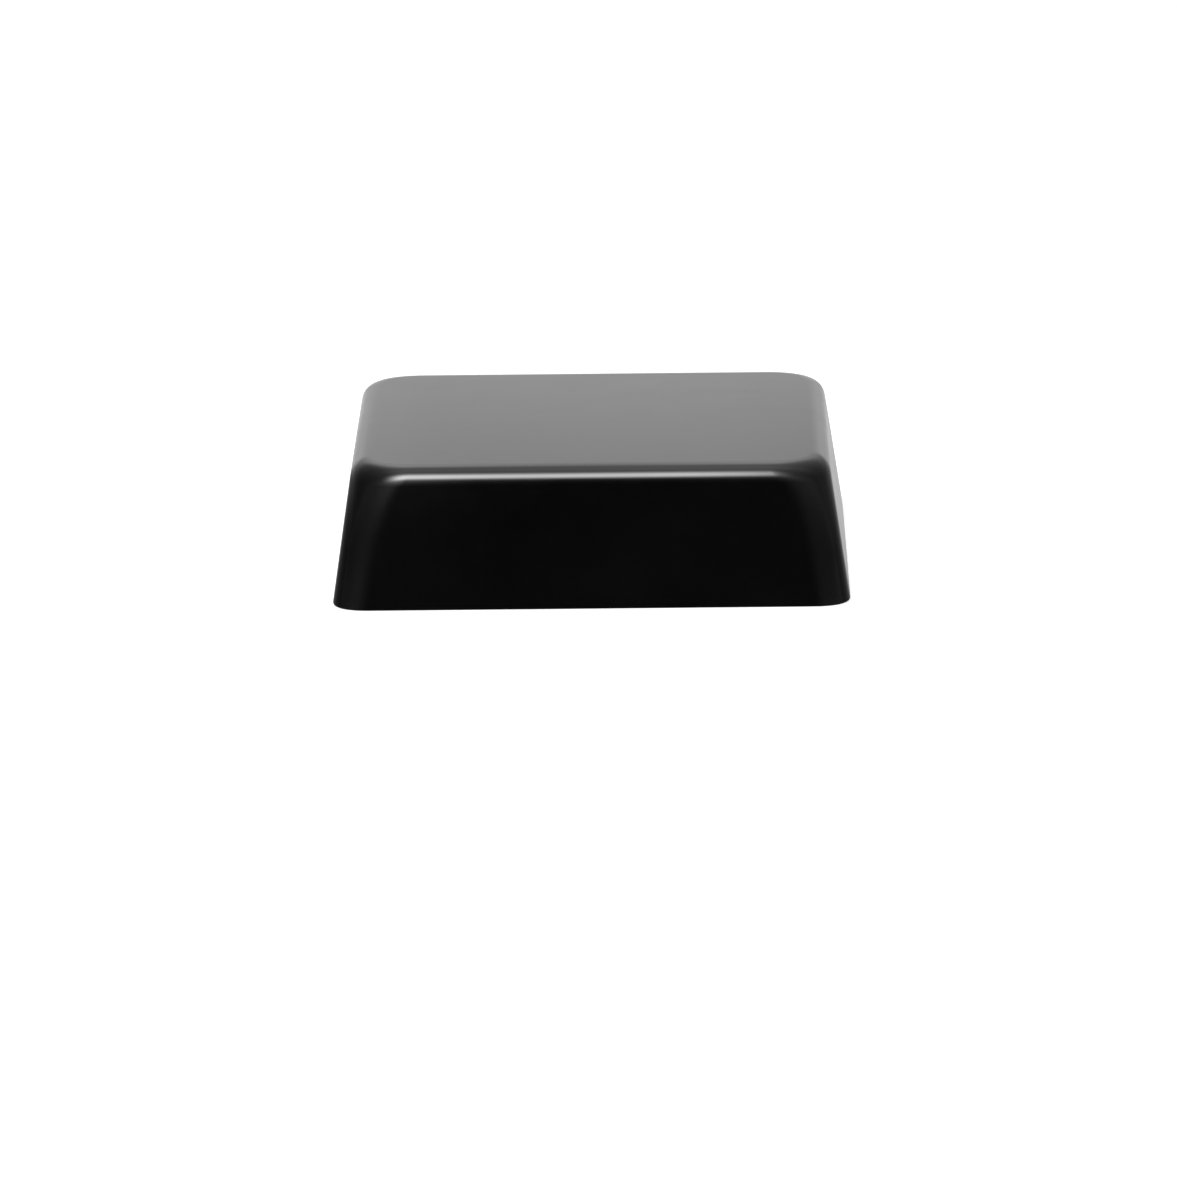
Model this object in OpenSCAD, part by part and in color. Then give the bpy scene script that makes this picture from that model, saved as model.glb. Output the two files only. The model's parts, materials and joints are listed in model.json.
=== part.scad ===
// Fence post cap for a square timber post, in millimetres.
// A hollow moulded shell with leaning sides and a flat top drops over the end of the post.
// The post's end stops against fins inside the shell, and four sprung steel clips grip its
// sides. Each clip hangs from a boss under the top and is held there by one screw.
// The origin is the centre of the rim's plane, and +Z points up through the top.

/* [Post] */
// Side of the square post that the cap fits
post_w = 89; // [75:0.5:125]
// Length of post inside the cap, from the rim up to the seat fins
engagement = 10; // [9.5:0.25:13]

/* [Shell] */
// Height of the cap from its rim to its flat top
height = 26.5; // [25:0.5:40]
// Thickness of the shell
wall = 1.6; // [1.2:0.1:2.4]
// Lean of the side walls from the vertical, in degrees
draft = 8.5; // [6:0.25:10]
// Length of each upright corner's rounding along the rim
rim_corner = 7.5; // [5:0.25:12]
// Length of each upright corner's rounding at the top of the sides
top_corner = 12; // [9:0.25:14]
// Length of the top edge's rounding, in across the top and down the side
edge_l = 3.5; // [2.75:0.25:6]
// Fullness of these roundings: 2 is a plain arc, and more runs out more gently into the flats
fullness = 2.4; // [2:0.1:3]

/* [Seat fins] */
// Thickness of a fin
fin_t = 1.2; // [0.8:0.1:2]
// Reach of a fin inwards from the wall at the seat
fin_reach = 6; // [4:0.5:9]
// Distance from a fin's middle to the neighbouring wall at the seat
fin_inset = 17; // [14:0.5:22]

/* [Grip clips] */
// Width of the steel strip
clip_w = 14; // [10:0.5:20]
// Thickness of the steel strip
clip_t = 0.5; // [0.3:0.05:0.8]
// Gap between the clip's blade and the wall behind it
clip_gap = 0.1; // [0.05:0.05:0.4]
// Gap between the clip's blade and the side of the post at the seat
blade_clear = 0.5; // [0.2:0.05:1]
// Depth by which the free clip reaches past the side of the post
bite = 0.5; // [0.2:0.1:0.9]
// Height of the clip's innermost line above the rim
apex_z = 5.5; // [5:0.25:6.5]
// Height of the clip's lower end above the rim
tip_z = 1.5; // [1:0.25:2.5]
// Slope of the bow above and below that line, in degrees from the vertical
bow_angle = 20; // [16:1:26]
// Radius of the bow, at the middle of the strip
bow_r = 2; // [1.5:0.25:3]
// Inner radius of the bend between the foot and the blade
bend_r = 0.8; // [0.5:0.1:1.5]
// Length of the foot past the screw's axis, towards the middle of the cap
foot_tail = 5; // [4:0.5:7]
// Radius of the strip's four corners
strip_corner_r = 2; // [1:0.25:4]
// Height of a barb above the strip's face
barb_h = 0.4; // [0.2:0.1:0.6]
// Length of a barb's sloping side
barb_l = 1.6; // [1:0.1:2]
// Width of a barb
barb_w = 2; // [1:0.25:3]
// Distance between a clip's two barbs
barb_pitch = 7; // [4:0.5:7]

/* [Bosses and screws] */
// Diameter of a boss
boss_d = 8; // [6.5:0.25:10]
// Distance from the screw's axis to the wall at the level of the clip's foot
boss_inset = 11; // [8:0.5:15]
// Diameter of the screw's shank and of the hole that it is driven into
shank_d = 2.5; // [2:0.1:3]
// Length of the screw below its head
screw_l = 6.5; // [5:0.25:8]
// Length of the screw's point
point_l = 1.6; // [1:0.1:2]
// Diameter of the screw's head
head_d = 5.6; // [5:0.1:7]
// Height of the screw's head
head_h = 2; // [1.6:0.1:2.4]
// Radius of the head's dome
dome_r = 4.5; // [4:0.25:7]
// Length of each slot of the cross recess
recess_l = 3; // [2:0.1:3.6]
// Width of each slot of the cross recess
recess_w = 0.8; // [0.6:0.1:1]
// Depth of the cross recess
recess_depth = 1.1; // [0.8:0.1:1.4]
// Play of the screw's shank in the clip's hole
hole_clear = 0.4; // [0.2:0.1:0.8]
// Depth of the boss's hole past the screw's point
hole_spare = 0.5; // [0.3:0.1:1]
// Thickness of boss left above that hole, under the top
boss_floor = 0.5; // [0.3:0.1:1]

/* [Hidden] */

$fn = 64;
// Steps round each upright corner, up each side, over the top edge and round each bend of a clip
corner_steps = 8;
side_steps = 4;
edge_steps = 8;
bend_steps = 6;
// How late the upright corners widen on the way up: 1 is evenly, and more is nearer to the top
widening = 4;
// Overlap that carries a cut clear through a face
cut = 1;
// Diameter that the screw's point narrows to
point_d = 0.6;

// Thicknesses measured level through a leaning wall
level_wall = wall / cos(draft);
level_strip = (clip_gap + clip_t) / cos(draft);

// The rim leaves room at the seat for the post, the clip's blade and the wall
rim_half = post_w / 2 + blade_clear + level_strip + level_wall + engagement * tan(draft);

// The boss hangs from the top and is as long as the screw needs
hole_depth = screw_l - clip_t + hole_spare;
foot_top = height - wall - boss_floor - hole_depth;
foot_bottom = foot_top - clip_t;
boss_x = inner_half(foot_top) - boss_inset;
fin_y = inner_half(engagement) - fin_inset;

// Corners of the clip's middle line, before they are rounded
apex_x = post_w / 2 - bite + clip_t / 2 - bow_r * (1 / cos(bow_angle) - 1);
tip_x = apex_x + (apex_z - tip_z) * tan(bow_angle);
bow_top_z = (blade_x(0) - apex_x + apex_z * tan(bow_angle)) / (tan(bow_angle) + tan(draft));

// Half the shell's inner width at a height, and the clip blade's middle line there
function inner_half(z) = rim_half - z * tan(draft) - level_wall;
function blade_x(z) = inner_half(z) - level_strip + clip_t / 2 / cos(draft);

function unit(v) = v / norm(v);

// How far a rounding has come along one of its two directions, from the sine or cosine of a step's angle
function eased(t) = pow(t, 2 / fullness);

// Length of an upright corner's rounding at a height
function corner_l(z) = rim_corner + (top_corner - rim_corner) * pow(z / height, widening);

// A square ring with round corners at one height, counted from +X towards +Y
function ring(half, r, z) = [
    for (k = [0 : 3], i = [0 : corner_steps])
    let (
        a = 90 * i / corner_steps,
        x = half - r + r * eased(cos(a)),
        y = half - r + r * eased(sin(a))
    )
    [x * cos(90 * k) - y * sin(90 * k), x * sin(90 * k) + y * cos(90 * k), z]
];

// Sections of the surface one inset inside the shell's outside: half width, corner rounding, height.
// These are the top edge's rounding, laid out from where the side and the top would meet. The corners
// tighten as it comes inwards
function edge_skin(inset) =
    let (
        top = height - inset,
        half = rim_half - inset / cos(draft) - top * tan(draft),
        reach = edge_l - inset * tan((90 - draft) / 2)
    )
    [for (i = [0 : edge_steps])
     let (
         a = 90 * i / edge_steps,
         across = reach * (1 - eased(cos(a))),
         down = reach * (1 - eased(sin(a))),
         z = top - down * cos(draft)
     )
     [half - across + down * sin(draft), corner_l(z) - inset - across, z]];

// These are the side below it
function side_skin(inset) =
    let (end = edge_skin(inset)[0].z)
    [for (i = [0 : side_steps - 1])
     let (z = end * i / side_steps)
     [rim_half - inset / cos(draft) - z * tan(draft), corner_l(z) - inset, z]];

function skin(inset) = concat(side_skin(inset), edge_skin(inset));

// The same list from its last item to its first
function reversed(list) = [for (i = [len(list) - 1 : -1 : 0]) list[i]];

// A closed solid through a list of rings, each with as many points as the next
module loft(rings) {
    n = len(rings[0]);
    last = (len(rings) - 1) * n;
    sides = [
        for (j = [0 : len(rings) - 2], i = [0 : n - 1])
        let (a = j * n + i, d = j * n + (i + 1) % n)
        each [[a, a + n, d + n], [a, d + n, d]]
    ];
    start = [for (i = [0 : n - 1]) i];
    finish = [for (i = [n - 1 : -1 : 0]) last + i];
    polyhedron([for (r = rings) each r], concat(sides, [start, finish]));
}

// The bare shell: its inside from the top down to the rim, then its outside back up
module bare_shell() {
    sections = concat(reversed(skin(wall)), skin(0));
    loft([for (s = sections) ring(s[0], s[1], s[2])]);
}

// A plate that stands in a side wall and the top, from x outwards and from one height up
module wall_plate(x, bottom) {
    edge = [for (s = edge_skin(wall / 2)) [s[0], s[2]]];
    foot_half = inner_half(bottom) + level_wall / 2;
    rotate([90, 0, 0])
        linear_extrude(fin_t, center = true)
            polygon(concat([[x, bottom], [foot_half, bottom]], edge, [[x, height - wall / 2]]));
}

// What stands inside the shell along one side: two seat fins, and a boss with its web
module side_bracing() {
    for (s = [-1, 1])
        translate([0, s * fin_y, 0])
            wall_plate(inner_half(engagement) - fin_reach, engagement);
    wall_plate(boss_x, foot_top);
    translate([boss_x, 0, foot_top])
        cylinder(d = boss_d, h = height - wall / 2 - foot_top);
}

module cap_shell() {
    color([0.03, 0.03, 0.032])
        difference() {
            union() {
                bare_shell();
                for (k = [0 : 3])
                    rotate(90 * k)
                        side_bracing();
            }
            for (k = [0 : 3])
                rotate(90 * k)
                    translate([boss_x, 0, foot_top - cut])
                        cylinder(d = shank_d, h = hole_depth + cut);
        }
}

// Arc of radius r that rounds the corner p of a line from a to b
function rounded(a, p, b, r) =
    let (
        u = unit(a - p),
        v = unit(b - p),
        half = acos(u * v) / 2,
        middle = p + unit(u + v) * r / sin(half),
        first = p + u * r / tan(half) - middle,
        last = p + v * r / tan(half) - middle
    )
    [for (i = [0 : bend_steps]) middle + r * unit(first + (last - first) * i / bend_steps)];

// Point i of a line moved sideways by an offset, with mitred corners
function beside(line, i, offset) =
    let (
        n = len(line) - 1,
        d = unit(line[min(i + 1, n)] - line[min(i, n - 1)]),
        e = unit(line[max(i, 1)] - line[max(i - 1, 0)]),
        m = unit([-d.y - e.y, d.x + e.x])
    )
    line[i] + m * offset / (m * [-d.y, d.x]);

// The clip's middle line in the section: foot, bend, blade along the wall, bow and tip
function clip_line() =
    let (
        foot = [boss_x - foot_tail, foot_top - clip_t / 2],
        bend = [blade_x(foot.y), foot.y],
        bow = [blade_x(bow_top_z), bow_top_z],
        apex = [apex_x, apex_z],
        tip = [tip_x, tip_z]
    )
    concat(
        [foot],
        rounded(foot, bend, bow, bend_r + clip_t / 2),
        rounded(bend, bow, apex, bow_r),
        rounded(bow, apex, tip, bow_r),
        [tip]
    );

// A flat bar from 0 to a length along X, with both corners round at its 0 end
module strip_end(length) {
    translate([strip_corner_r, -clip_w / 2])
        square([length - strip_corner_r, clip_w]);
    translate([0, strip_corner_r - clip_w / 2])
        square([length, clip_w - 2 * strip_corner_r]);
    for (s = [-1, 1])
        translate([strip_corner_r, s * (clip_w / 2 - strip_corner_r)])
            circle(strip_corner_r);
}

// The bent strip, with round corners at its foot seen from above and at its tip seen from the side
module bent_strip() {
    line = clip_line();
    sides = concat(
        [for (i = [0 : len(line) - 1]) beside(line, i, clip_t / 2)],
        [for (i = [len(line) - 1 : -1 : 0]) beside(line, i, -clip_t / 2)]
    );
    tip_low = tip_z - clip_t / 2 * sin(bow_angle);
    intersection() {
        rotate([90, 0, 0])
            linear_extrude(clip_w + cut, center = true)
                polygon(sides);
        translate([boss_x - foot_tail, 0, 0])
            linear_extrude(height)
                strip_end(rim_half);
        translate([0, 0, tip_low])
            rotate([0, -90, 0])
                linear_extrude(2 * rim_half, center = true)
                    strip_end(height);
    }
}

// A barb at the clip's innermost line: it slopes on its lower side and catches on its upper one
module barb() {
    middle_x = post_w / 2 - bite + clip_t / 2;
    rotate([90, 0, 0])
        linear_extrude(barb_w, center = true)
            polygon([
                [middle_x, apex_z],
                [middle_x - clip_t / 2 - barb_h, apex_z],
                [middle_x, apex_z - barb_l],
            ]);
}

module grip_clip(side) {
    color([0.72, 0.73, 0.75])
        rotate(90 * side)
            difference() {
                union() {
                    bent_strip();
                    for (s = [-1, 1])
                        translate([0, s * barb_pitch / 2, 0])
                            barb();
                }
                translate([boss_x, 0, foot_bottom - cut])
                    cylinder(d = shank_d + hole_clear, h = clip_t + 2 * cut);
            }
}

// A pan head screw with its head's bearing face at z = 0 and its shank pointing up
module pan_screw() {
    difference() {
        intersection() {
            translate([0, 0, -head_h])
                cylinder(d = head_d, h = head_h);
            translate([0, 0, dome_r - head_h])
                sphere(dome_r);
        }
        for (a = [0, 90])
            rotate(a)
                translate([-recess_l / 2, -recess_w / 2, -head_h - cut])
                    cube([recess_l, recess_w, recess_depth + cut]);
    }
    cylinder(d = shank_d, h = screw_l - point_l);
    translate([0, 0, screw_l - point_l])
        cylinder(d1 = shank_d, d2 = point_d, h = point_l);
}

module clip_screw(side) {
    color([0.8, 0.8, 0.82])
        rotate(90 * side)
            translate([boss_x, 0, foot_bottom])
                pan_screw();
}

cap_shell();
grip_clip(0);  // grip_clip_right
grip_clip(1);  // grip_clip_back
grip_clip(2);  // grip_clip_left
grip_clip(3);  // grip_clip_front
clip_screw(0);  // clip_screw_right
clip_screw(1);  // clip_screw_back
clip_screw(2);  // clip_screw_left
clip_screw(3);  // clip_screw_front
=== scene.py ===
"""Looks for the fence post cap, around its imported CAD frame.

The gloss black shell is modelled again here as one smooth mesh, with the sizes of its CAD solid, and
replaces it. The four spring clips and their screws stay as the CAD made them and get their steel
finishes here. Everything is in metres, in the CAD frame: the rim stands on z = 0 and the front is -Y.
"""

import json
import math

import bmesh
import bpy
from mathutils import Matrix, Vector


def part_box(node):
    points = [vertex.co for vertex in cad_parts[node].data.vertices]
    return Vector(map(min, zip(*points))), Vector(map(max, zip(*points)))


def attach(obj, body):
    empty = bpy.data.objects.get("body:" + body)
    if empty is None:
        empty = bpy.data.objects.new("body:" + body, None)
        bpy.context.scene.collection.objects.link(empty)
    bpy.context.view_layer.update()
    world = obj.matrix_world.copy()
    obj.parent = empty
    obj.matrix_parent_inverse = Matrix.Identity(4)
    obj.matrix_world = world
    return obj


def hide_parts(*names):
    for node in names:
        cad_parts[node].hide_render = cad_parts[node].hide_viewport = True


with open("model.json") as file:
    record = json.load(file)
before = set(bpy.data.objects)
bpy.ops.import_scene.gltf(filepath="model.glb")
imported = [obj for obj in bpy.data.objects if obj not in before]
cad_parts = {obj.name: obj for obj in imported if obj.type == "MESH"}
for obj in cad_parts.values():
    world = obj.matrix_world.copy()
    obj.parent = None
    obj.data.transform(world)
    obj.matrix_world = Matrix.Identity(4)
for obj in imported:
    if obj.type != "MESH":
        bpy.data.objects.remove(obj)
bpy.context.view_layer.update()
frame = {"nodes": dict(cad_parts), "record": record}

MM = 0.001
QUARTER_TURN = math.pi / 2
SIDES = ("right", "back", "left", "front")

# Sizes of the shell that the frame doesn't give. The CAD solid has the same ones.
DRAFT = math.radians(8.5)  # lean of the sides
WALL = 1.6 * MM
RIM_CORNER = 7.5 * MM  # length of an upright corner's rounding at the rim
TOP_CORNER = 12 * MM  # the same at the top of the sides
WIDENING = 4  # how late the corners widen: 1 is evenly on the way up, and more is nearer to the top
EDGE_L = 3.5 * MM  # length of the top edge's rounding, in across the top and down the side
FULLNESS = 2.4  # of these roundings: 2 is a plain arc, and more runs out more gently into the flats
FIN_T = 1.2 * MM  # thickness of the seat fins and of the bosses' webs
FIN_REACH = 6 * MM  # from the wall inwards, at the seat
BOSS_R = 4 * MM
PILOT_R = 1.25 * MM  # of the hole in a boss that a screw cuts its thread in
PILOT_SPARE = 0.5 * MM  # depth of that hole past the screw's point

# Small roundings of moulded edges, which the CAD solid leaves sharp.
RIM_ROUND = 0.35 * MM
RIB_ROUND = 0.3 * MM

# A narrow ring of faces round the flat top, which keeps its shading flat up to its edge.
FLAT_MARGIN = 0.12 * MM

# How finely the curves are cut.
CORNER_STEPS = 28
EDGE_STEPS = 24
WALL_STEPS = 12
TOP_STEPS = 6
ROUND_STEPS = 4
RIB_ROUND_STEPS = 3
BOSS_STEPS = 48

# How the shell is shaded. Edges that fold by more than this angle stay sharp, and a weight above 50 lets
# large faces count for more, so that the flats look flat.
SHARP_DEGREES = 32
LARGE_FACE_WEIGHT = 60

# The shell's two material slots.
OUTSIDE, INSIDE = 0, 1

# Places that the frame gives.
RIM_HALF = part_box("cap_shell")[1].x
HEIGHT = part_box("cap_shell")[1].z
FOOT_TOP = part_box("grip_clip_right")[1].z
screw_low, screw_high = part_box("clip_screw_right")
BOSS_X = (screw_low.x + screw_high.x) / 2
PILOT_TOP = screw_high.z + PILOT_SPARE
seat_mount = next(m for m in frame["record"]["mounts"] if m["name"] == "post_seat")
FIN_Y = seat_mount["pos_m"][1]
SEAT_Z = seat_mount["pos_m"][2]


def mix(a, b, t):
    """The value a share t of the way from a to b."""
    return a + (b - a) * t


def quarter_turns():
    """The turns about the upright axis that take the right side to each of SIDES."""
    return [Matrix.Rotation(k * QUARTER_TURN, 3, "Z") for k in range(len(SIDES))]


def wall_half(z, inset):
    """Half the shell's width at height z, on a skin that lies this far inside the outer one."""
    return RIM_HALF - z * math.tan(DRAFT) - inset / math.cos(DRAFT)


def corner_at(z):
    """Length of an upright corner's rounding at height z."""
    return mix(RIM_CORNER, TOP_CORNER, (z / HEIGHT) ** WIDENING)


def eased(t):
    """How far a rounding has come along one of its directions, from the sine or cosine of its angle."""
    return max(t, 0) ** (2 / FULLNESS)


# The functions that end in _section list (half width, corner rounding, height) for rings round the shell.
def edge_section(inset):
    """The top edge's rounding, from the side to the top."""
    top = HEIGHT - inset
    half = wall_half(top, inset)
    reach = EDGE_L - inset * math.tan((QUARTER_TURN - DRAFT) / 2)
    section = []
    for step in range(EDGE_STEPS + 1):
        angle = QUARTER_TURN * step / EDGE_STEPS
        across = reach * (1 - eased(math.cos(angle)))
        down = reach * (1 - eased(math.sin(angle)))
        z = top - down * math.cos(DRAFT)
        section.append((half - across + down * math.sin(DRAFT), corner_at(z) - inset - across, z))
    return section


def wall_section(inset, z_start):
    """A side, from height z_start up to where the top edge's rounding begins."""
    z_end = edge_section(inset)[0][2]
    section = []
    for step in range(WALL_STEPS):
        z = mix(z_start, z_end, step / WALL_STEPS)
        section.append((wall_half(z, inset), corner_at(z) - inset, z))
    return section


def rim_section():
    """The rim, from its inner edge across to its outer edge, both slightly rounded."""
    across = math.cos(DRAFT)
    lean = math.sin(DRAFT)
    inner_x = RIM_HALF - (WALL - RIM_ROUND + RIM_ROUND * lean) / across
    outer_x = RIM_HALF - RIM_ROUND * (1 + lean) / across
    straight_down = 3 * QUARTER_TURN
    section = []
    for centre, start, end in (
        (inner_x, math.pi + DRAFT, straight_down),
        (outer_x, straight_down, math.tau + DRAFT),
    ):
        for step in range(ROUND_STEPS + 1):
            angle = mix(start, end, step / ROUND_STEPS)
            half = centre + RIM_ROUND * math.cos(angle)
            corner = RIM_CORNER - (RIM_HALF - half)
            section.append((half, corner, RIM_ROUND * (1 + math.sin(angle))))
    return section


def top_section(edge):
    """The flat top, from just inside its edge towards the middle."""
    half_edge, corner_edge, z = edge
    section = [(half_edge - FLAT_MARGIN, corner_edge - FLAT_MARGIN, z)]
    for step in range(1, TOP_STEPS):
        share = 1 - step / TOP_STEPS
        section.append((half_edge * share, corner_edge * share, z))
    return section


def ring(half, corner, z):
    """Points round a square with rounded corners, anticlockwise seen from above."""
    points = []
    for turn in quarter_turns():
        for step in range(CORNER_STEPS + 1):
            angle = QUARTER_TURN * step / CORNER_STEPS
            x = half - corner + corner * eased(math.cos(angle))
            y = half - corner + corner * eased(math.sin(angle))
            points.append(turn @ Vector((x, y, z)))
    return points


def loft(bm, rings, slots):
    """Faces between neighbouring rings, with a face over each end. slots has each band's material."""
    rows = [[bm.verts.new(p) for p in points] for points in rings]
    count = len(rows[0])
    for low, high, slot in zip(rows, rows[1:], slots):
        for i in range(count):
            j = (i + 1) % count
            bm.faces.new((low[i], low[j], high[j], high[i])).material_index = slot
    bm.faces.new(list(reversed(rows[0]))).material_index = slots[0]
    bm.faces.new(rows[-1]).material_index = slots[-1]


def mesh_object(name, bm):
    """A new object with the mesh in bm, its faces turned outwards."""
    bmesh.ops.recalc_face_normals(bm, faces=bm.faces)
    mesh = bpy.data.meshes.new(name)
    bm.to_mesh(mesh)
    bm.free()
    obj = bpy.data.objects.new(name, mesh)
    bpy.context.scene.collection.objects.link(obj)
    return obj


def inside_object(name, bm):
    """The same, with the inside's material all over."""
    for face in bm.faces:
        face.material_index = INSIDE
    return mesh_object(name, bm)


def skin_object(name):
    """The hollow shell without its fins and bosses.

    It is one loft that starts under the middle of the top, goes down the inside, round the rim and up
    the outside, and ends on the middle of the top.
    """
    inner_edge = edge_section(WALL)
    outer_edge = edge_section(0)
    inner = wall_section(WALL, RIM_ROUND)[1:] + inner_edge + top_section(inner_edge[-1])
    outer = wall_section(0, RIM_ROUND)[1:] + outer_edge + top_section(outer_edge[-1])
    rim = rim_section()
    sections = list(reversed(inner)) + rim + outer
    slots = [INSIDE] * len(inner) + [OUTSIDE] * (len(rim) + len(outer) - 1)
    bm = bmesh.new()
    loft(bm, [ring(*s) for s in sections], slots)
    return mesh_object(name, bm)


def wall_plate(bm, turn, x_free, y, z_free):
    """A moulded plate square to a side. It runs from its free edges at x_free and z_free into the skin."""
    buried = WALL / 2
    outline = [(x_free, z_free), (wall_half(z_free, buried), z_free)]
    outline += [(half, z) for half, corner, z in edge_section(buried)]
    outline.append((x_free, HEIGHT - buried))
    near, far = [
        [bm.verts.new(turn @ Vector((x, y + side * FIN_T / 2, z))) for x, z in outline]
        for side in (-1, 1)
    ]
    count = len(outline)
    free = []
    for i in range(count):
        j = (i + 1) % count
        bm.faces.new((near[i], near[j], far[j], far[i]))
        if i in (0, count - 1):
            free += [(near[i], near[j]), (far[i], far[j])]
    free.append((near[0], far[0]))
    bm.faces.new(near)
    bm.faces.new(list(reversed(far)))
    edges = [bm.edges.get(pair) for pair in free]
    round_profile = 0.5
    bmesh.ops.bevel(
        bm, geom=edges, offset=RIB_ROUND, segments=RIB_ROUND_STEPS, profile=round_profile, affect="EDGES"
    )


def lathe(bm, centre, profile):
    """A closed turned shape about an upright axis, from its lowest end up. profile has (radius, z)."""
    rings = []
    for radius, z in profile:
        points = []
        for step in range(BOSS_STEPS):
            angle = math.tau * step / BOSS_STEPS
            points.append(centre + Vector((radius * math.cos(angle), radius * math.sin(angle), z)))
        rings.append(points)
    loft(bm, rings, [INSIDE] * (len(rings) - 1))


def boss_profile():
    """A boss from its rounded lower edge up into the top."""
    profile = []
    for step in range(ROUND_STEPS + 1):
        angle = QUARTER_TURN * step / ROUND_STEPS
        radius = BOSS_R - RIB_ROUND * (1 - math.sin(angle))
        profile.append((radius, FOOT_TOP + RIB_ROUND * (1 - math.cos(angle))))
    profile.append((BOSS_R, HEIGHT - WALL / 2))
    return profile


def bracing_object(name):
    """The seat fins, the screw bosses and the web that ties each boss to its wall."""
    bm = bmesh.new()
    x_fin = wall_half(SEAT_Z, WALL) - FIN_REACH
    for turn in quarter_turns():
        for y in (-FIN_Y, FIN_Y):
            wall_plate(bm, turn, x_fin, y, SEAT_Z)
        wall_plate(bm, turn, BOSS_X, 0, FOOT_TOP)
        lathe(bm, turn @ Vector((BOSS_X, 0, 0)), boss_profile())
    return inside_object(name, bm)


def pilot_object(name):
    """The holes that the clips' screws cut their threads in."""
    bm = bmesh.new()
    for turn in quarter_turns():
        lathe(bm, turn @ Vector((BOSS_X, 0, 0)), [(PILOT_R, FOOT_TOP - WALL), (PILOT_R, PILOT_TOP)])
    return inside_object(name, bm)


def cut_and_join(obj, steps):
    """Applies boolean steps, (operation, other object), to obj's mesh and removes the other objects."""
    for operation, other in steps:
        modifier = obj.modifiers.new(operation, "BOOLEAN")
        modifier.operation = operation
        modifier.solver = "EXACT"
        modifier.use_self = True
        modifier.object = other
    evaluated = obj.evaluated_get(bpy.context.evaluated_depsgraph_get())
    result = bpy.data.meshes.new_from_object(evaluated)
    obj.modifiers.clear()
    obj.data = result
    for operation, other in steps:
        bpy.data.objects.remove(other)


def smooth_curves(obj):
    """Shades curves smoothly and keeps real edges sharp, with flat faces truly flat."""
    obj.data.shade_smooth()
    obj.data.set_sharp_from_angle(angle=math.radians(SHARP_DEGREES))
    weighted = obj.modifiers.new("flat_faces", "WEIGHTED_NORMAL")
    weighted.keep_sharp = True
    weighted.weight = LARGE_FACE_WEIGHT


def dress(obj, *materials):
    """Gives an object these materials in place of its own."""
    obj.data.materials.clear()
    for material in materials:
        obj.data.materials.append(material)


# The values between which a noise texture mostly lies.
CLOUD_LOW = 0.3
CLOUD_HIGH = 0.7

PLASTIC_IOR = 1.5

# How slowly the rolling lines change along the steel strip, beside 1 across it.
LINE_STRETCH = 0.03


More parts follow.
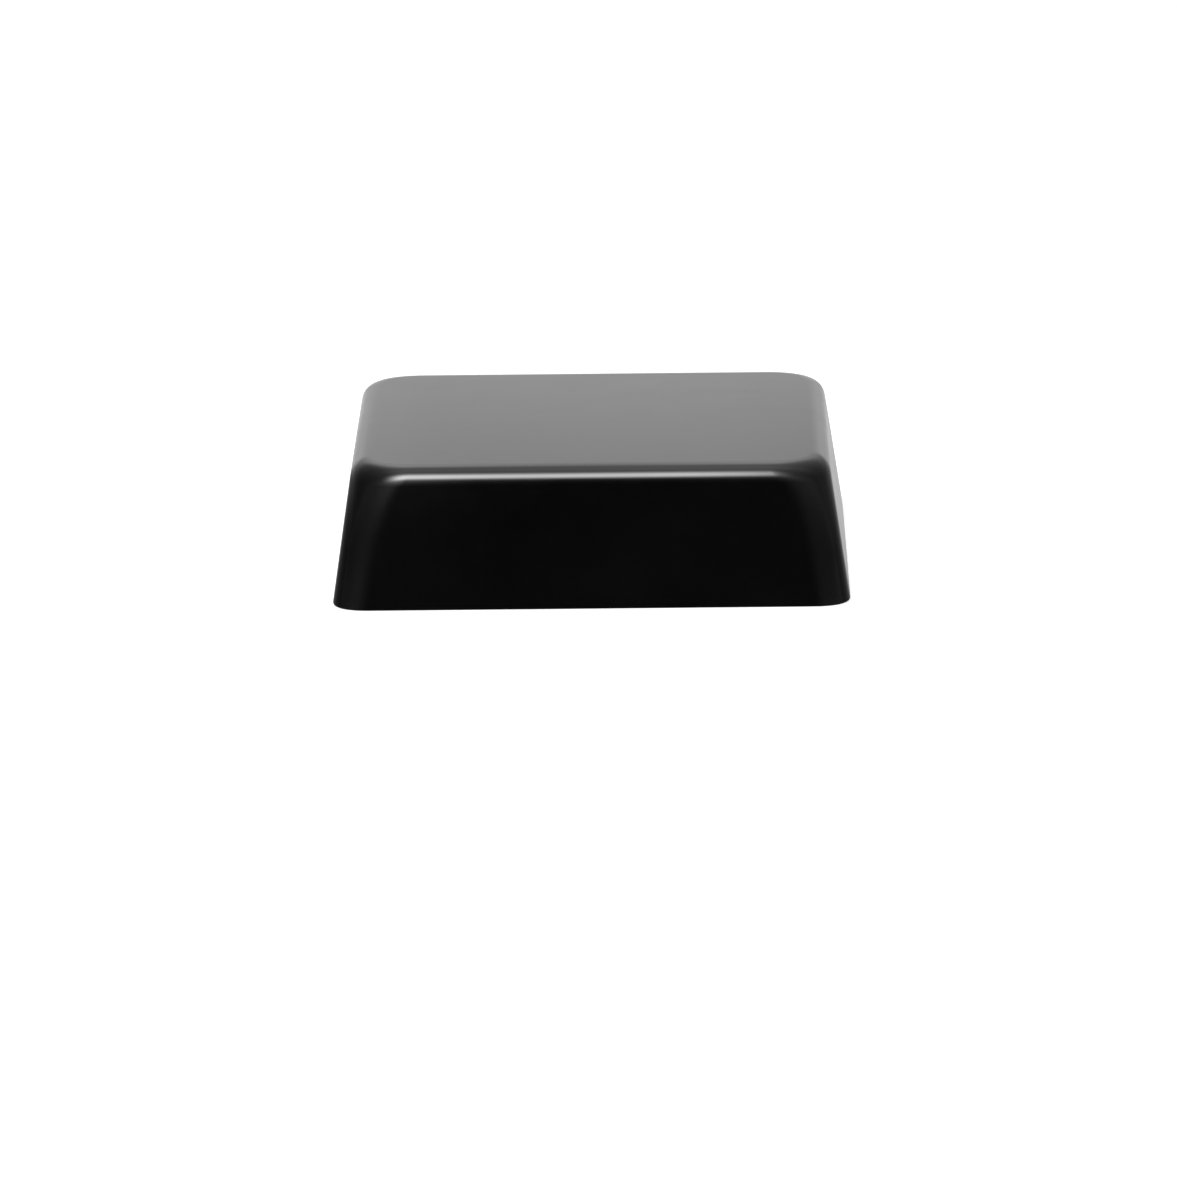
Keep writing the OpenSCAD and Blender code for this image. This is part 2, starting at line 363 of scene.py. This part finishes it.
class Nodes:
    """A short way to write a material's nodes."""

    def __init__(self, name, shader="ShaderNodeBsdfPrincipled"):
        self.material = bpy.data.materials.new(name)
        self.material.use_nodes = True
        self.tree = self.material.node_tree
        self.tree.nodes.clear()
        self.shader = self.add(shader)
        output = self.add("ShaderNodeOutputMaterial")
        self.link(self.shader.outputs[0], output.inputs["Surface"])

    def add(self, kind, **settings):
        node = self.tree.nodes.new(kind)
        for key, value in settings.items():
            setattr(node, key, value)
        return node

    def link(self, source, target):
        self.tree.links.new(source, target)

    def keep(self, socket, value):
        """Sets one of the shader's sockets to the same value all over."""
        self.shader.inputs[socket].default_value = value

    def vary(self, socket, source):
        """Feeds one of the shader's sockets with what changes over the surface."""
        self.link(source, self.shader.inputs[socket])

    def place(self, stretch=(1, 1, 1)):
        """Points of the piece in metres, stretched along the axes."""
        coordinates = self.add("ShaderNodeTexCoord")
        mapping = self.add("ShaderNodeMapping")
        mapping.inputs["Scale"].default_value = stretch
        self.link(coordinates.outputs["Object"], mapping.inputs["Vector"])
        return mapping.outputs["Vector"]

    def noise(self, place, size, detail=2, roughness=0.5):
        """Soft cloudy values about 0.5. size is the width of a patch in metres."""
        node = self.add("ShaderNodeTexNoise")
        node.inputs["Scale"].default_value = 1 / size
        node.inputs["Detail"].default_value = detail
        node.inputs["Roughness"].default_value = roughness
        self.link(place, node.inputs["Vector"])
        return node.outputs["Fac"]

    def spread(self, value, low, high, start=CLOUD_LOW, end=CLOUD_HIGH):
        """Takes values from start to end to the range from low to high."""
        node = self.add("ShaderNodeMapRange")
        node.inputs["From Min"].default_value = start
        node.inputs["From Max"].default_value = end
        node.inputs["To Min"].default_value = low
        node.inputs["To Max"].default_value = high
        self.link(value, node.inputs["Value"])
        return node.outputs["Result"]

    def ramp(self, value, stops, interpolation="LINEAR"):
        """A colour for each value from 0 to 1, from stops of (value, red, green and blue)."""
        node = self.add("ShaderNodeValToRGB")
        ramp = node.color_ramp
        ramp.interpolation = interpolation
        while len(ramp.elements) < len(stops):
            ramp.elements.new(0.5)  # each gets its own place below
        for element, (position, colour) in zip(ramp.elements, stops):
            element.position = position
            element.color = (*colour, 1)
        self.link(value, node.inputs["Fac"])
        return node.outputs["Color"]

    def shades(self, cloud, dark, light):
        """A colour that goes from dark to light with a noise texture."""
        return self.ramp(cloud, ((CLOUD_LOW, dark), (CLOUD_HIGH, light)))

    def curve(self, value, shares, span):
        """A smooth curve near shares of (place, share). value goes from 0 to 1 over the span."""
        start, end = span
        stops = [((place - start) / (end - start), (share, share, share)) for place, share in shares]
        return self.ramp(value, stops, "B_SPLINE")

    def combine(self, operation, first, second):
        """What a math operation makes of two values."""
        node = self.add("ShaderNodeMath", operation=operation)
        self.link(first, node.inputs[0])
        self.link(second, node.inputs[1])
        return node.outputs["Value"]

    def bump(self, height, depth, strength, below=None):
        """Relief of the given depth in metres, over what lies below it."""
        node = self.add("ShaderNodeBump")
        node.inputs["Distance"].default_value = depth
        node.inputs["Strength"].default_value = strength
        self.link(height, node.inputs["Height"])
        if below is not None:
            self.link(below, node.inputs["Normal"])
        return node.outputs["Normal"]


def gloss_black():
    """Polished black moulding: near black all over, a slightly uneven gloss and a faint ripple."""
    n = Nodes("gloss_black_moulding")
    place = n.place()
    cloud = n.noise(place, size=26 * MM, detail=3)
    smears = n.noise(place, size=9 * MM, detail=4, roughness=0.6)
    ripple = n.bump(n.noise(place, size=11 * MM, detail=1), depth=0.02 * MM, strength=0.5)
    grain = n.noise(place, size=0.9 * MM, detail=1)
    n.vary("Base Color", n.shades(cloud, (0.0012, 0.0012, 0.0013), (0.0024, 0.0024, 0.0025)))
    n.vary("Roughness", n.spread(smears, 0.10, 0.15))
    n.vary("Normal", n.bump(grain, depth=0.002 * MM, strength=0.4, below=ripple))
    n.keep("IOR", PLASTIC_IOR)
    return n.material


def moulded_inside():
    """The unpolished side of the mould: satin black with a fine spark-eroded grain."""
    n = Nodes("satin_black_inside")
    place = n.place()
    cloud = n.noise(place, size=14 * MM, detail=3)
    patches = n.noise(place, size=5 * MM, detail=4, roughness=0.6)
    grain = n.noise(place, size=0.35 * MM)
    n.vary("Base Color", n.shades(cloud, (0.004, 0.004, 0.0042), (0.008, 0.008, 0.0083)))
    n.vary("Roughness", n.spread(patches, 0.34, 0.46))
    n.vary("Normal", n.bump(grain, depth=0.02 * MM, strength=0.35))
    n.keep("IOR", PLASTIC_IOR)
    return n.material


def spring_steel(name, across):
    """Rolled spring steel, with fine lines along the strip that change fast only across it."""
    n = Nodes(name)
    stretch = [LINE_STRETCH, LINE_STRETCH, LINE_STRETCH]
    stretch[across] = 1
    lines = n.noise(n.place(stretch), size=0.12 * MM, detail=3, roughness=0.7)
    cloud = n.noise(n.place(), size=4 * MM, detail=3)
    n.vary("Base Color", n.shades(cloud, (0.40, 0.41, 0.43), (0.52, 0.53, 0.55)))
    n.vary("Roughness", n.spread(lines, 0.24, 0.40))
    n.vary("Normal", n.bump(lines, depth=0.004 * MM, strength=0.5))
    n.keep("Metallic", 1)
    return n.material


def bright_zinc():
    """Bright zinc plating: a cool, slightly cloudy mirror."""
    n = Nodes("bright_zinc")
    place = n.place()
    cloud = n.noise(place, size=1.6 * MM, detail=3)
    patches = n.noise(place, size=0.8 * MM, detail=4, roughness=0.6)
    grain = n.noise(place, size=0.3 * MM)
    n.vary("Base Color", n.shades(cloud, (0.54, 0.55, 0.58), (0.68, 0.68, 0.69)))
    n.vary("Roughness", n.spread(patches, 0.18, 0.32))
    n.vary("Normal", n.bump(grain, depth=0.006 * MM, strength=0.3))
    n.keep("Metallic", 1)
    return n.material


def shell_object(name):
    """The whole shell: its skin, with the bracing joined on and the screws' holes cut."""
    obj = skin_object(name)
    dress(obj, gloss_black(), moulded_inside())
    bracing = bracing_object("bracing")
    pilots = pilot_object("pilots")
    cut_and_join(obj, [("UNION", bracing), ("DIFFERENCE", pilots)])
    smooth_curves(obj)
    return obj


def dress_steel():
    """Gives the clips and screws their finishes.

    A clip's width lies along y on the right and left, and along x at the back and front.
    """
    steel_x = spring_steel("spring_steel_x", 0)
    steel_y = spring_steel("spring_steel_y", 1)
    zinc = bright_zinc()
    for k, side in enumerate(SIDES):
        dress(frame["nodes"][f"grip_clip_{side}"], steel_x if k % 2 else steel_y)
        dress(frame["nodes"][f"clip_screw_{side}"], zinc)


# The studio: a white floor under a wide soft light, in a white room that only the camera sees. The cap
# mirrors a small dome of light round it, which shows only as reflections.
FLOOR_SPAN = 8
FLOOR_GREY = 0.8
FLOOR_ROUGHNESS = 0.9
FLOOR_GLOW = 0.7
ROOM_RADIUS = 4.5
ROOM_HEIGHT = 5
ROOM_STEPS = 64
WORLD_GREY = 0.01
SOFT_LIGHT_SIZE = 1.6
SOFT_LIGHT_WATTS = 20
SOFT_LIGHT_PLACE = (-0.3, -0.3, 1.4)
DOME_RADIUS = 0.3
DOME_STEPS = 96
DOME_RINGS = 48

# Each of the dome's lights is a radiance times two shares. The first goes by how far aside a place is,
# from -1 on the left to 1 on the right. The second goes by the angle over the cap in degrees: 0 at the
# level behind, 90 overhead, 180 at the level in front, and below zero under the level behind. The shares
# are set at a few places, and a smooth curve passes near them.
ASIDE_SPAN = (-1, 1)
OVER_SPAN = (-180, 180)
DOME_LIGHTS = {
    # The pale floor behind, up to the backdrop. The right and left sides mirror it.
    "backdrop_foot": {
        "radiance": 0.78,
        "aside": (
            (-1, 0), (-0.5, 0.05), (-0.4, 0.4), (-0.28, 0.88), (0.1, 1), (0.22, 0.9), (0.32, 0.6),
            (0.45, 0.5), (0.65, 0.2), (1, 0),
        ),
        "over": (
            (-180, 0), (-60, 0.05), (-30, 0.6), (-12, 1), (-5, 1), (1, 0), (6, 0), (180, 0),
        ),
    },
    # The pale backdrop, which the flat top mirrors.
    "backdrop": {
        "radiance": 0.9,
        "aside": (
            (-1, 0.04), (-0.78, 0.28), (-0.6, 0.5), (-0.5, 0.68), (-0.38, 0.78), (-0.25, 0.84), (-0.1, 1),
            (0.05, 1), (0.2, 0.96), (0.34, 0.9), (0.5, 0.48), (0.7, 0.32), (1, 0.06),
        ),
        "over": (
            (-180, 0), (-10, 0), (-4, 0.25), (2, 0.98), (8, 1), (12, 0.82), (15, 0.57), (19, 0.7),
            (25, 0.73), (31, 0.54), (38, 0.1), (44, 0), (52, 0), (180, 0),
        ),
    },
    # A soft light high behind. It shows as the grey band where the front edge's rounding begins.
    "far_light": {
        "radiance": 1.8,
        "aside": (
            (-1, 0), (-0.7, 0.06), (-0.5, 0.1), (-0.4, 0.18), (-0.3, 0.52), (-0.2, 0.96), (-0.13, 1),
            (-0.06, 0.78), (0.03, 0.78), (0.1, 1), (0.17, 0.95), (0.25, 0.6), (0.36, 0.32), (0.5, 0.22),
            (0.7, 0.12), (1, 0.02),
        ),
        "over": (
            (-180, 0), (14, 0), (20, 0.06), (25, 0.15), (31, 0.38), (37, 0.7), (44, 0.9), (52, 1),
            (59, 0.78), (66, 0.33), (74, 0.02), (82, 0), (180, 0),
        ),
    },
    # The ceiling. It shows between that band and the bright line.
    "overhead": {
        "radiance": 1.7,
        "aside": (
            (-1, 0), (-0.75, 0.02), (-0.5, 0.16), (-0.36, 0.42), (-0.2, 0.72), (0, 1), (0.1, 1),
            (0.2, 0.8), (0.3, 0.7), (0.42, 0.5), (0.6, 0.32), (0.8, 0.12), (1, 0.03),
        ),
        "over": (
            (-180, 0), (50, 0), (58, 0.1), (66, 0.46), (74, 0.72), (82, 0.74), (92, 1), (100, 0.92),
            (108, 0.74), (116, 0.6), (124, 0.42), (138, 0.22), (152, 0.06), (166, 0), (176, 0), (180, 0),
        ),
    },
    # The main light, high in front. It shows as the bright line along the front edge.
    "key": {
        "radiance": 18.8,
        "aside": (
            (-1, 0), (-0.6, 0), (-0.5, 0.04), (-0.42, 0.17), (-0.34, 0.46), (-0.27, 0.85), (-0.2, 0.98),
            (-0.14, 1), (-0.08, 0.72), (0.03, 0.78), (0.09, 0.77), (0.115, 0.5), (0.15, 0.12),
            (0.25, 0.09), (0.36, 0.03), (0.5, 0.01), (1, 0),
        ),
        "over": (
            (-180, 0), (106, 0), (114, 0.03), (122, 0.18), (130, 0.7), (138.5, 1), (146, 0.77),
            (153, 0.05), (160, 0), (168, 0), (180, 0),
        ),
    },
    # What lies below the main light, mostly on the left. It thickens that end of the bright line.
    "low_glow": {
        "radiance": 3.2,
        "aside": (
            (-1, 0.02), (-0.75, 0.03), (-0.57, 0.1), (-0.42, 0.42), (-0.32, 0.8), (-0.25, 1), (-0.18, 1),
            (-0.14, 0.25), (-0.1, 0.02), (0.1, 0.04), (0.2, 0.15), (0.5, 0.12), (0.8, 0.05), (1, 0.03),
        ),
        "over": (
            (-180, 0), (138, 0), (146, 0.8), (154, 1), (161, 0.55), (167, 0.33), (173, 0.06), (177, 0),
            (180, 0),
        ),
    },
    # The dim room to the right and left, which the upright corners mirror.
    "sides": {
        "radiance": 0.26,
        "aside": (
            (-1, 0.42), (-0.85, 0.92), (-0.7, 1), (-0.58, 1), (-0.45, 0.6), (-0.34, 0.3), (-0.24, 0.12),
            (0.22, 0.08), (0.36, 0.36), (0.5, 0.62), (0.7, 0.82), (1, 0.8),
        ),
        "over": (
            (-180, 1), (-165, 1), (-120, 1), (-20, 0.28), (10, 0.28), (50, 0.55), (120, 0.58), (140, 0.6),
            (160, 0.52), (170, 0.45), (176, 0.5), (180, 1),
        ),
    },
}


def hide_from(obj, *rays):
    """Lets these kinds of rays pass by an object."""
    for ray in rays:
        setattr(obj, f"visible_{ray}", False)


def white_floor():
    """A pale floor with a glow of its own, so that it comes out white."""
    n = Nodes("white_floor")
    n.keep("Base Color", (FLOOR_GREY, FLOOR_GREY, FLOOR_GREY, 1))
    n.keep("Roughness", FLOOR_ROUGHNESS)
    n.keep("Emission Color", (1, 1, 1, 1))
    n.keep("Emission Strength", FLOOR_GLOW)
    span = FLOOR_SPAN / 2
    corners = ((-span, -span), (span, -span), (span, span), (-span, span))
    bm = bmesh.new()
    bm.faces.new([bm.verts.new((x, y, 0)) for x, y in corners])
    floor = mesh_object("floor", bm)
    dress(floor, n.material)
    hide_from(floor, "glossy")


def white_room():
    """A white wall far round the floor, which only the camera sees."""
    n = Nodes("white_room", "ShaderNodeEmission")
    n.keep("Color", (1, 1, 1, 1))
    n.keep("Strength", 1)
    bm = bmesh.new()
    bmesh.ops.create_cone(
        bm, segments=ROOM_STEPS, radius1=ROOM_RADIUS, radius2=ROOM_RADIUS, depth=2 * ROOM_HEIGHT
    )
    room = mesh_object("room", bm)
    dress(room, n.material)
    hide_from(room, "diffuse", "glossy", "transmission", "shadow")


def dome_glow():
    """The sum of the dome's lights. The dome's own axes are x to the back, y up and z to the right."""
    n = Nodes("dome", "ShaderNodeEmission")
    coordinates = n.add("ShaderNodeTexCoord")
    split = n.add("ShaderNodeSeparateXYZ")
    n.link(coordinates.outputs["Object"], split.inputs["Vector"])
    side = n.spread(split.outputs["Z"], 0, 1, -DOME_RADIUS, DOME_RADIUS)
    turn = n.add("ShaderNodeTexGradient", gradient_type="RADIAL")
    n.link(coordinates.outputs["Object"], turn.inputs["Vector"])
    total = None
    for light in DOME_LIGHTS.values():
        aside = n.curve(side, light["aside"], ASIDE_SPAN)
        over = n.curve(turn.outputs["Fac"], light["over"], OVER_SPAN)
        glow = n.combine("MULTIPLY", aside, n.spread(over, 0, light["radiance"], 0, 1))
        total = glow if total is None else n.combine("ADD", total, glow)
    n.vary("Strength", total)
    return n.material


def dome():
    """A small sphere of light round the cap, centred on its top."""
    bm = bmesh.new()
    bmesh.ops.create_uvsphere(bm, u_segments=DOME_STEPS, v_segments=DOME_RINGS, radius=DOME_RADIUS)
    obj = mesh_object("dome", bm)
    axes = Matrix(((0, 0, 1), (1, 0, 0), (0, 1, 0)))
    obj.matrix_world = Matrix.Translation((0, 0, HEIGHT)) @ axes.to_4x4()
    dress(obj, dome_glow())
    hide_from(obj, "camera", "diffuse", "shadow")


def soft_light():
    """A wide light over the floor. It doesn't show as a reflection."""
    data = bpy.data.lights.new("soft_light", "AREA")
    data.size = SOFT_LIGHT_SIZE
    data.energy = SOFT_LIGHT_WATTS
    obj = bpy.data.objects.new("soft_light", data)
    obj.location = SOFT_LIGHT_PLACE
    hide_from(obj, "glossy")
    bpy.context.scene.collection.objects.link(obj)


def studio():
    """Sets up the floor, the room, the lights and a dark world behind them."""
    white_floor()
    white_room()
    dome()
    soft_light()
    world = bpy.data.worlds.new("studio")
    world.use_nodes = True
    background = world.node_tree.nodes["Background"]
    background.inputs["Color"].default_value = (WORLD_GREY, WORLD_GREY, WORLD_GREY, 1)
    bpy.context.scene.world = world


# The camera, as the photo was taken: a long lens 1.8 m away, looking slightly down on the front.
CAMERA_DISTANCE = 1.8
CAMERA_TURN = math.radians(0.624)  # round to the right
CAMERA_DOWN = math.radians(12.868)
CAMERA_ROLL = math.radians(0.7)  # clockwise
CENTRE_LEFT = 1.03 * MM  # from the rim's centre to the middle of the picture
CENTRE_BELOW = 6.97 * MM
FRAME_PIXELS = 1177
FOCAL_PIXELS = 9356
SENSOR_MM = 36
CLIP_END = 50


def camera():
    """Sets the camera up in front, and then turns it about the upright axis."""
    right = Vector((1, 0, 0))
    up = Vector((0, math.sin(CAMERA_DOWN), math.cos(CAMERA_DOWN)))
    back = right.cross(up)
    place = -CENTRE_LEFT * right - CENTRE_BELOW * up + CAMERA_DISTANCE * back
    rolled_right = right * math.cos(CAMERA_ROLL) - up * math.sin(CAMERA_ROLL)
    rolled_up = right * math.sin(CAMERA_ROLL) + up * math.cos(CAMERA_ROLL)
    axes = Matrix((rolled_right, rolled_up, back)).transposed()
    turn = Matrix.Rotation(CAMERA_TURN, 4, "Z")
    data = bpy.data.cameras.new("camera")
    data.sensor_fit = "HORIZONTAL"
    data.sensor_width = SENSOR_MM
    data.lens = FOCAL_PIXELS / FRAME_PIXELS * SENSOR_MM
    data.clip_end = CLIP_END
    obj = bpy.data.objects.new("camera", data)
    bpy.context.scene.collection.objects.link(obj)
    obj.matrix_world = turn @ Matrix.Translation(place) @ axes.to_4x4()
    bpy.context.scene.camera = obj


shell = shell_object("shell")
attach(shell, "root")
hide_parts("cap_shell")
dress_steel()

studio()
camera()
bpy.context.scene.view_settings.view_transform = "Standard"
